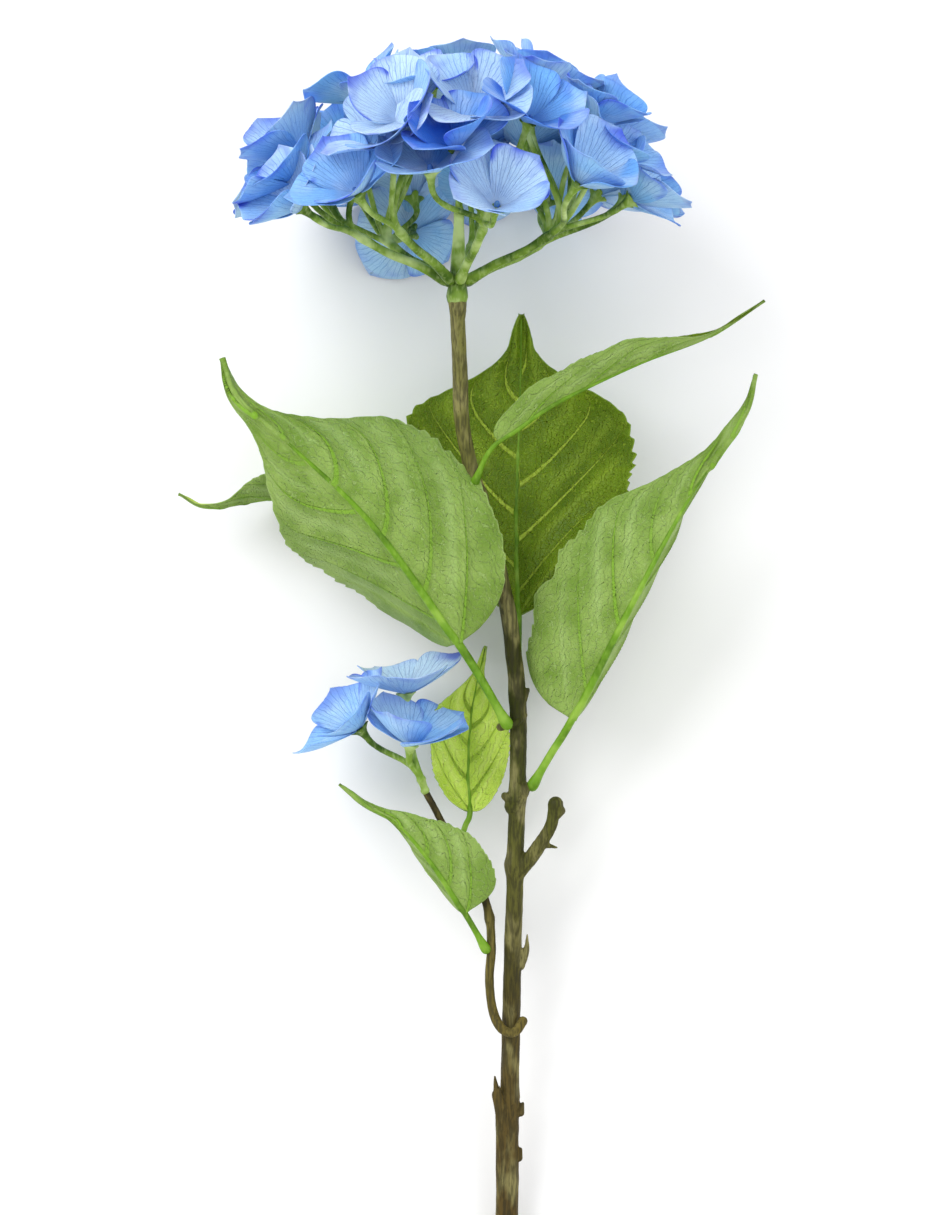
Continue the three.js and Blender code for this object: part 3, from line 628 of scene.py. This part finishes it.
def make_leaf(node, midrib, petiole, half_width, turn, fold, belly, pairs, seed, over, scallop=0.012):
    rng = np.random.default_rng(seed)
    whole = spline(midrib, MIDRIB_SAMPLES)
    whole_run = np.linspace(0, 1, MIDRIB_SAMPLES + 1)
    length = length_of(whole)
    start = petiole / length
    share = np.linspace(*BLADE_SPAN, LEAF_ROWS)
    at = start + (1 - start) * share
    path = np.stack([np.interp(at, whole_run, whole[:, k]) for k in range(3)], 1)
    turns = np.radians(np.interp(share, np.linspace(0, 1, len(turn)), turn))
    along, upper, beside = leaf_frames(path, turns)
    blade = length - petiole

    across = np.sin(np.linspace(-math.pi / 2, math.pi / 2, LEAF_COLUMNS))
    s, c = np.meshgrid(share, across, indexing="ij")
    side = np.abs(c)
    width = np.maximum(half_width * leaf_outline(share, belly), 0.5)[:, None]

    # Teeth that point to the tip, a little uneven in size
    step = s * TEETH + 0.25 * np.sin(s * 23 + seed)
    saw = step - np.floor(step)
    tooth = np.where(saw < TOOTH_PEAK, saw / TOOTH_PEAK, (1 - saw) / (1 - TOOTH_PEAK))
    size = TOOTH * (0.8 + 0.4 * np.sin(s * 17 + seed * 2 + np.sign(c)))
    fades = smooth(0.02, 0.12, s) * smooth(1.0, 0.9, s)
    teeth = (tooth - 0.5) * size * 2 + scallop * np.sin(s * 34 + 1.5 * np.sin(s * 11 + seed) + np.sign(c))
    reach = side * width * (1 + teeth * fades * smooth(0.8, 1.0, side))

    # Side veins leave the midrib in turn on either side and bend towards the tip
    shift = np.where(c > 0, 0.5, 0.0)
    climb = s - VEIN_SLANT * (side**1.3) * (0.55 + 0.45 * width / half_width)
    phase = climb * pairs + shift + 0.06 * np.sin(side * 5 + seed)
    pitch = blade / pairs * VEIN_SPACING
    near = np.abs(phase - np.round(phase)) * pitch
    uneven = 0.8 + 0.2 * np.sin(np.round(phase) * 2.6 + seed)
    inside = smooth(-0.05, 0.0, climb) * smooth(0.93, 0.8, climb) * uneven
    vein = np.exp(-((near / (1.5 - 0.8 * side)) ** 2)) * inside * (1 - 0.8 * smooth(0.45, 0.95, side))
    rib = np.exp(-((side * width / (1.9 - 1.2 * s)) ** 2))
    bulge = np.cos(math.pi * (phase - np.round(phase))) ** 2
    bulge = (1 - bulge) * smooth(0.05, 0.3, side) * smooth(1.0, 0.75, side) * inside

    lean = np.radians(fold + LEAF_CURL * side)
    flutter = sum(
        rng.uniform(0.5, 1.0) * np.sin(s * k * 2 * math.pi + np.sign(c) * rng.uniform(1, 3) + rng.uniform(0, 6))
        for k in (1.7, 3.1, 6.3)
    )
    lift = flutter * side**2 * 0.026 * half_width + (bulge * 0.85 - vein * 0.35) * half_width / 40
    surface = (
        path[:, None, :]
        + beside[:, None, :] * (np.sign(c) * reach * np.cos(lean))[..., None]
        + upper[:, None, :] * (reach * np.sin(lean) + lift)[..., None]
    )
    half = LEAF_THICKNESS / 2
    size = half_width / 45
    over_lift = half - 0.3 * vein - 0.35 * rib
    under_lift = half + (0.95 * vein + 0.9 * rib) * size
    edge = smooth(0.94, 1.0, side)
    over_lift = over_lift * (1 - edge) + LEAF_EDGE * edge
    under_lift = under_lift * (1 - edge) + LEAF_EDGE * edge
    # The grid's own normal runs from row to column, so it is turned to the leaf's upper side
    normal = np.cross(np.gradient(surface, axis=0), np.gradient(surface, axis=1))
    if (normal * upper[:, None, :]).sum() < 0:
        surface = surface[:, ::-1]
        flip = slice(None, None, -1)
    else:
        flip = slice(None)
    points, faces, sides = sheet(surface, over_lift[:, flip], under_lift[:, flip])
    flat = np.stack([(np.sign(c) * reach)[:, flip].ravel(), (s * blade)[:, flip].ravel()], 1)
    # bulge also drives the painted highlight on the crests between the veins in leaf_look
    values = {"phase": phase, "away": side, "inside": inside, "bulge": bulge, "pitch": np.full(s.shape, pitch)}
    values = {key: np.tile(grid[:, flip].ravel(), 2) for key, grid in values.items()}

    # The leaf's stalk and its midrib below the blade, as one tapering tube
    run = np.linspace(0, 1, STALK_STEPS + 1)
    tube_path = np.stack([np.interp(run * STALK_END, whole_run, whole[:, k]) for k in range(3)], 1)
    grown = np.clip((run * STALK_END - start) / (1 - start), 0, 1)
    angle = np.radians(np.interp(grown, np.linspace(0, 1, len(turn)), turn))
    _, rib_upper, _ = leaf_frames(tube_path, angle)
    thick = (1.75 - 1.3 * smooth(0.0, 0.95, grown)) * size**0.4
    thick = thick + 0.9 * np.exp(-((run * length / 5) ** 2))
    tube_path = tube_path - rib_upper * (thick * 0.75 * smooth(0.0, 0.06, grown) * (grown > 0))[:, None]
    rib_points, rib_faces = tube(tube_path, thick, 12)
    count = len(points)
    points = np.vstack([points, rib_points])
    all_faces = faces.tolist() + [[i + count for i in f] for f in rib_faces]
    sides = np.concatenate([sides, np.full(len(rib_faces), 2)])
    values = {k: np.concatenate([v, np.zeros(len(rib_points))]) for k, v in values.items()}
    uv = np.vstack([flat, flat, np.zeros((len(rib_points), 2))])
    piece(node + "_blade", points, all_faces, [over, leaf_under, leaf_stalk], node, sides, values, uv)


for node, spec in LEAVES.items():
    make_leaf(node, **spec)


# ---- Florets ----

HEAD_CENTRE = np.array([-4.6, 456, 2])
HEAD_RADIUS = 73
HEAD_HEIGHT = 55
HEAD_BACK = 0.74
STALK_BASE = np.array([-5.4, 420.6, 0])
CALYX_LENGTH = 6
# Compass angle round the head, height angle on the dome, spin, and turn towards straight up
HEAD_FLORETS = [
    (10, 4, 10, 0.6), (48, 6, 52, 0.75), (78, -6, 38, 0.9), (99, 9, 68, 1.7), (124, 1, 30, 0.8),
    (152, -2, 5, 0.7), (160, 10, 40, 1), (116, 23, 15, 0.6), (91, 19, 60, 0.8), (16, 40, 35, 0.6),
    (84, 40, 48, 0.25), (62, 34, 20, 0.5), (172, 24, 62, 1), (33, 60, 65, 0.3), (22, 22, 50, 0.5),
    (112, 35, 78, 0.15), (-5, 35, 20, 0.4), (-172, 8, 5, 0.7), (-150, 12, 40, 0.9), (-128, 13, 22, 0.9),
    (-106, 12, 35, 0.9), (-82, 13, 0, 0.9), (-58, 11, 50, 0.9), (-34, 12, 50, 0.8), (-14, 7, 25, 0.7),
    (-107, -3, 45, 0.3), (-165, 22, 20, 0.5), (-138, 32, 62, 0.5), (-112, 36, 10, 0.5), (-86, 33, 55, 0.5),
    (-61, 36, 25, 0.5), (-33, 33, 75, 0.5), (-122, 54, 50, 0.3), (-86, 60, 30, 0.3), (-40, 56, 68, 0.3),
    (178, 58, 50, 0.2), (108, 60, 42, 0.2), (-92, 80, 12, 0.2), (-1, 62, 50, 0.2),
]
SHOOT_FLORETS = [
    ((-25, 233, 9), (0.08, 0.93, 0.36), 42),
    ((-27, 254, -5), (-0.05, 0.98, 0.15), 30),
    ((-46.5, 239.5, 0), (-0.6, 0.75, 0.25), 38),
]
SHOOT_TONES = (0.22, 0.08, 0.36)
SHOOT_OPENINGS = (30, 24, 20)
HEAD_BEND = -8  # degrees that a head petal bends back along its length
HEAD_SEED, SHOOT_SEED = 100, 200
PETAL_LENGTH, PETAL_WIDTH = 28, 31
PETAL_ROWS, PETAL_COLUMNS = 24, 21
PETAL_FOOT = 0.8  # distance of a petal's foot from the floret's middle
PETAL_HALF_THICKNESS = 0.17
PETAL_SIZES = (0.9, 1.06)  # range over the usual length and width
FLOOR_CLEARANCE = 0.35
CALYX_POINTS = 32
CALYX_PROFILE = [  # radius and height, from the stalk to the petals
    (1.25, -7.4), (1.35, -6), (1.6, -4.4), (1.95, -3), (2.5, -1.9), (3.1, -1.2), (3.7, -0.7), (3.6, -0.45),
]
# Tones of the florets that lie deep between their neighbours, by number: painted shade, a deeper blue for the shade
# that falls on them there
SHADED_FLORETS = {9: 0.9, 12: 0.7, 28: 0.75, 30: 0.8}


def head_floret(compass, height, spin, lift):
    up, turn = math.radians(height), math.radians(compass)
    reach = HEAD_RADIUS * math.cos(up)
    front = max(math.sin(turn), -HEAD_BACK)
    offset = np.array([reach * math.cos(turn), HEAD_HEIGHT * math.sin(up), reach * front])
    faces = np.array([math.cos(up) * math.cos(turn), math.sin(up) + lift, math.cos(up) * math.sin(turn)])
    return offset + HEAD_CENTRE, unit(faces), spin


def floret_axes(faces, spin):
    """The floret's own x, y and z, turned from +Z the shortest way to where it faces, then spun."""
    z = unit(np.asarray(faces, float))
    v = np.cross([0, 0, 1], z)
    k = np.array([[0, -v[2], v[1]], [v[2], 0, -v[0]], [-v[1], v[0], 0]])
    turn = np.eye(3) + k + k @ k / (1 + z[2])
    a = math.radians(spin)
    return turn @ np.array([[math.cos(a), -math.sin(a), 0], [math.sin(a), math.cos(a), 0], [0, 0, 1]])


def petal(rng, length, width, opening, bend, tip, cup, twist, ripple):
    """One petal along +x from the floret's middle, as a grid of points, with where each point lies on it."""
    run = np.sin(np.linspace(0.0, math.pi / 2, PETAL_ROWS)) ** 1.1
    across = np.sin(np.linspace(-math.pi / 2, math.pi / 2, PETAL_COLUMNS))
    r, c = np.meshgrid(run, across, indexing="ij")
    half = width / 2 * np.sin(math.pi * np.clip(run, 0, 1) ** 1.45) ** 0.5
    half = np.maximum(half, np.where(run < 0.3, 1.7, 0.3))
    notch = 1 + 0.012 * np.sin(c * 4 + rng.uniform(0, 6)) * r**4
    flat_x = PETAL_FOOT + r * length * notch * (1 - 0.1 * c**2 * r**2)
    flat_y = c * half[:, None] * (1 + 0.02 * np.sin(r * 9 + rng.uniform(0, 6)))
    angle = opening + bend * run + tip * run**3
    step_x = 0.5 * (np.cos(angle[1:]) + np.cos(angle[:-1])) * np.diff(run) * length
    step_z = 0.5 * (np.sin(angle[1:]) + np.sin(angle[:-1])) * np.diff(run) * length
    mid_x = np.concatenate([[PETAL_FOOT], PETAL_FOOT + np.cumsum(step_x)])
    mid_z = np.concatenate([[0], np.cumsum(step_z)])
    back = flat_x - (PETAL_FOOT + r * length)
    x = mid_x[:, None] + back * np.cos(angle)[:, None]
    z = mid_z[:, None] + back * np.sin(angle)[:, None]
    rise = cup * flat_y**2 / width
    x = x - rise * np.sin(angle)[:, None]
    z = z + rise * np.cos(angle)[:, None]
    lean = math.radians(twist)
    y = flat_y * math.cos(lean)
    z = z + flat_y * math.sin(lean) * r
    rim = np.maximum(r**3, np.abs(c) ** 3 * smooth(0.1, 0.5, r))
    wave = np.arctan2(flat_y, flat_x - length * 0.5)
    z = z + ripple * rim * (np.sin(wave * 2 + rng.uniform(0, 6)) + 0.45 * np.sin(wave * 4 + rng.uniform(0, 6)))
    z = z - 0.5 * np.exp(-((flat_y / 1.1) ** 2)) * r * (1 - r)
    fan = np.arctan2(flat_y, flat_x + 2)
    reach = np.maximum(r, np.abs(c) ** 2 * smooth(0.15, 0.5, r))
    return np.stack([x, y, z], -1), fan, r, reach


def make_floret(name, node, centre, faces, spin, seed, tone_and_shade, opening, bend):
    rng = np.random.default_rng(seed)
    axes = floret_axes(faces, spin)
    all_points, all_faces, all_sides = [], [], []
    data = {"tone_and_shade": [], "reach": [], "edge": []}
    uv = []
    start = 0
    for k in range(4):
        length = PETAL_LENGTH * rng.uniform(*PETAL_SIZES)
        width = PETAL_WIDTH * rng.uniform(*PETAL_SIZES)
        open_now = math.radians(opening + rng.uniform(-12, 12) + (3.5 if k % 2 else 0))
        grid, fan, along, reach = petal(
            rng, length, width, open_now,
            math.radians(bend + rng.uniform(-16, 18)), math.radians(rng.uniform(-8, 34)),
            rng.uniform(0.35, 1.0), rng.uniform(4, 11), rng.uniform(0.25, 0.7),
        )
        turn = math.radians(90 * k + rng.uniform(-8, 8))
        cos, sin = math.cos(turn), math.sin(turn)
        spun = grid @ np.array([[cos, sin, 0], [-sin, cos, 0], [0, 0, 1]])
        thick = np.full(along.shape, PETAL_HALF_THICKNESS)
        points, petal_faces, sides = sheet(spun, thick, thick)
        all_points.append(points)
        all_faces += (petal_faces + start).tolist()
        all_sides.append(sides)
        start += len(points)
        own = np.clip(tone_and_shade + rng.uniform(-0.2, 0.2), 0, 1)
        data["tone_and_shade"].append(np.full(len(points), own))
        data["reach"].append(np.tile(reach.ravel(), 2))
        data["edge"].append(np.full(len(points), rng.uniform(0.35, 1.0)))
        uv.append(np.tile(np.stack([fan.ravel() * 2, along.ravel()], 1), (2, 1)))

    # Green calyx below, with four small lobes that hold the petals, and the bud in the middle
    ring = np.linspace(0, FULL_TURN, CALYX_POINTS, endpoint=False)
    rows = []
    for step, (r, z) in enumerate(CALYX_PROFILE):
        lobes = 1 + 0.3 * smooth(3, 6, step) * np.cos(4 * ring)
        rise = math.tan(math.radians(opening)) * max(r - 1.6, 0) * 0.9
        level = np.full(CALYX_POINTS, z + rise)
        rows.append(np.stack([r * lobes * np.cos(ring), r * lobes * np.sin(ring), level], 1))
    body = np.vstack(rows)
    first = list(range(CALYX_POINTS))
    top = [i + CALYX_POINTS * (len(CALYX_PROFILE) - 1) for i in first]
    body_faces = strips(len(CALYX_PROFILE), CALYX_POINTS, True).tolist() + [first[::-1], top]
    bud = spline([(0, 0, 0), (0.1, 0, 1.0), (0, 0, 2.2)], 8)
    bud_points, bud_faces = tube(bud, 0.9 + 0.35 * np.sin(np.linspace(0.4, 2.9, 9)), 14)
    for points, face_list, kind in ((body, body_faces, 2), (bud_points, bud_faces, 3)):
        all_points.append(points)
        all_faces += [[i + start for i in f] for f in face_list]
        all_sides.append(np.full(len(face_list), kind))
        start += len(points)
        for key in data:
            data[key].append(np.zeros(len(points)))
        uv.append(np.zeros((len(points), 2)))
    placed = np.vstack(all_points) @ axes.T + centre
    # Petals that meet the floor are pressed against it
    height = lay(placed)[:, 2] / MM
    sunk = np.maximum(FLOOR_CLEARANCE - height, 0)
    placed = placed + sunk[:, None] * np.array([0, math.sin(TILT), math.cos(TILT)])
    piece(
        name, placed, all_faces, [petal_front, petal_back, flower_stalk, heart], node,
        np.concatenate(all_sides), {k: np.concatenate(v) for k, v in data.items()}, np.vstack(uv),
    )


head = [head_floret(*row) for row in HEAD_FLORETS]
for i, (centre, faces, spin) in enumerate(head):
    number = f"{i + 1:02d}"
    height = HEAD_FLORETS[i][1]
    # A floret's tone varies from one to the next; the florets deep between their neighbours get a painted shade, a
    # deeper blue
    tone_and_shade = SHADED_FLORETS.get(i + 1, 0.32 + 0.22 * math.sin(i * 2.4))
    opening = 32 + 8 * math.sin(i * 1.7) - 8 * (height > 50)
    make_floret(f"petals_{number}", f"floret_{number}", centre, faces, spin, HEAD_SEED + i, tone_and_shade, opening, HEAD_BEND)
for i, (centre, faces, spin) in enumerate(SHOOT_FLORETS):
    make_floret(
        f"side_petals_{i + 1}", f"side_floret_{i + 1}",
        np.array(centre, float), unit(np.array(faces)), spin, SHOOT_SEED + i,
        SHOOT_TONES[i], SHOOT_OPENINGS[i], 0,
    )


# ---- Flower stalks ----

BRANCHES = (22, 75, 125, 168, -132, -82, -32)  # compass angles of the outer branches
BRANCH_PROFILE = ((5.4, 7), (17, 13), (30, 18), (41, 24))  # reach and rise from the stalks' base
BRANCH_RADIUS = 2.1
BRANCH_END_RADIUS = 1.7
BRANCH_STEPS = 24
BRANCH_FLARE = 0.12  # share of the length that the swelling at either end takes up
MIDDLE_BRANCH = [STALK_BASE, (-5, 432, 0), (-4.8, 445, 0.5), (-4.6, 457, 1)]
MIDDLE_BRANCH_RADIUS = 4.2
MIDDLE_REACH = 34  # florets nearer to the head's axis than this stand on the middle branch
SHOOT_BRANCH = [(-18.9, 213.6, 3.2), (-20.4, 218, 4)]
SHOOT_BRANCH_RADIUS = 1.6
PEDICEL_RADIUS = 1.3
PEDICEL_STEPS = 18
PEDICEL_GAP = 0.4  # between the pedicel's end and the calyx


def pedicel(fork, leaving, floret):
    centre, faces, _ = floret
    foot = centre - faces * (CALYX_LENGTH + PEDICEL_GAP)
    span = np.linalg.norm(foot - fork)
    path = bezier(
        fork - leaving * 1.5, fork + leaving * span * 0.4, foot - faces * span * 0.35, foot, PEDICEL_STEPS
    )
    share = np.linspace(0, 1, PEDICEL_STEPS + 1)
    flare = 0.5 * np.exp(-((share / BRANCH_FLARE) ** 2))
    return tube(path, PEDICEL_RADIUS + flare + 0.2 * smooth(0.85, 1, share), 12)


def spray(name, node, points, florets, thick):
    path = spline(points, BRANCH_STEPS)
    leaving = unit(path[-1] - path[-2])
    share = np.linspace(0, 1, BRANCH_STEPS + 1)
    radius = thick + (BRANCH_END_RADIUS - thick) * share
    radius = radius + 0.5 * np.exp(-(((share - 1) / BRANCH_FLARE) ** 2))
    radius = radius + 0.5 * np.exp(-((share / BRANCH_FLARE) ** 2))
    parts = [tube(path, radius, 16)] + [pedicel(path[-1], leaving, f) for f in florets]
    body, normals, faces = fused(parts, 0.4, 4)
    body = roughened(body, normals, 0.12, len(florets))
    piece(name, body, faces, [flower_stalk], node)


def outer_branch(compass):
    turn = math.radians(compass)
    out = np.array([math.cos(turn), 0, max(math.sin(turn), -HEAD_BACK)])
    return [STALK_BASE + out * reach + (0, rise, 0) for reach, rise in BRANCH_PROFILE]


def from_axis(floret):
    return math.hypot(floret[0][0] - HEAD_CENTRE[0], floret[0][2] - HEAD_CENTRE[2])


def compass_of(floret):
    return math.degrees(math.atan2(floret[0][2] - HEAD_CENTRE[2], floret[0][0] - HEAD_CENTRE[0]))


def nearest_branch(floret):
    return min(BRANCHES, key=lambda b: abs((compass_of(floret) - b + 540) % 360 - 180))


middle = [f for f in head if from_axis(f) < MIDDLE_REACH]
spray("middle_stalk", "flower_stalk_middle", MIDDLE_BRANCH, middle, MIDDLE_BRANCH_RADIUS)
for i, compass in enumerate(BRANCHES):
    held = [f for f in head if from_axis(f) >= MIDDLE_REACH and nearest_branch(f) == compass]
    spray(f"outer_stalk_{i + 1}", f"flower_stalk_{i + 1}", outer_branch(compass), held, BRANCH_RADIUS)
side_florets = [(np.array(c, float), unit(np.array(f)), s) for c, f, s in SHOOT_FLORETS]
spray("side_stalks", "side_shoot_stalks", SHOOT_BRANCH, side_florets, SHOOT_BRANCH_RADIUS)


# ---- Floor, light and camera ----


def flat_sheet(name, size, height, material):
    mesh = bpy.data.meshes.new(name)
    corners = [(-size, -size, height), (size, -size, height), (size, size, height), (-size, size, height)]
    mesh.from_pydata(corners, [], [(0, 1, 2, 3)])
    mesh.materials.append(material)
    thing = bpy.data.objects.new(name, mesh)
    bpy.context.scene.collection.objects.link(thing)


floor_look = Look("floor", **{"Base Color": (0.93, 0.93, 0.93, 1), "Roughness": 0.9, "Specular IOR Level": 0.1})
FLOOR_HALF_SIDE = 4  # metres
flat_sheet("floor", FLOOR_HALF_SIDE, 0, floor_look.material)

world = bpy.data.worlds.new("studio")
bpy.context.scene.world = world
world.use_nodes = True
background = world.node_tree.nodes["Background"]
background.inputs["Color"].default_value = (1, 1, 1, 1)
background.inputs["Strength"].default_value = 0.95


def softbox(name, place, target, size, power):
    light = bpy.data.lights.new(name, "AREA")
    light.size = size
    light.energy = power
    thing = bpy.data.objects.new(name, light)
    bpy.context.scene.collection.objects.link(thing)
    thing.location = place
    away = np.array(place, float) - np.array(target, float)
    thing.rotation_mode = "QUATERNION"
    thing.rotation_quaternion = mathutils.Vector(away).to_track_quat("Z", "Y")


softbox("key", (-1.1, 0.8, 1.4), (0, 0, 0), 1.2, 19)
softbox("fill", (1.2, -0.3, 1.3), (0, 0, 0), 1.4, 6)

VIEW_DISTANCE = 1500
VIEW_CENTRE = 290.15  # up the stem
SENSOR_WIDTH = 36
VIEW_HEIGHT = 510.3  # of the plane through the stem that the picture's long side covers
camera = bpy.data.cameras.new("camera")
camera.sensor_width = SENSOR_WIDTH
camera.lens = SENSOR_WIDTH * VIEW_DISTANCE / VIEW_HEIGHT
camera.clip_start, camera.clip_end = 0.05, 20
viewer = bpy.data.objects.new("camera", camera)
bpy.context.scene.collection.objects.link(viewer)
viewer.location = lay([(0, VIEW_CENTRE, VIEW_DISTANCE)])[0]
viewer.rotation_euler = (TILT, 0, 0)
bpy.context.scene.camera = viewer
bpy.context.scene.view_settings.view_transform = "Standard"

bpy.context.view_layer.update()
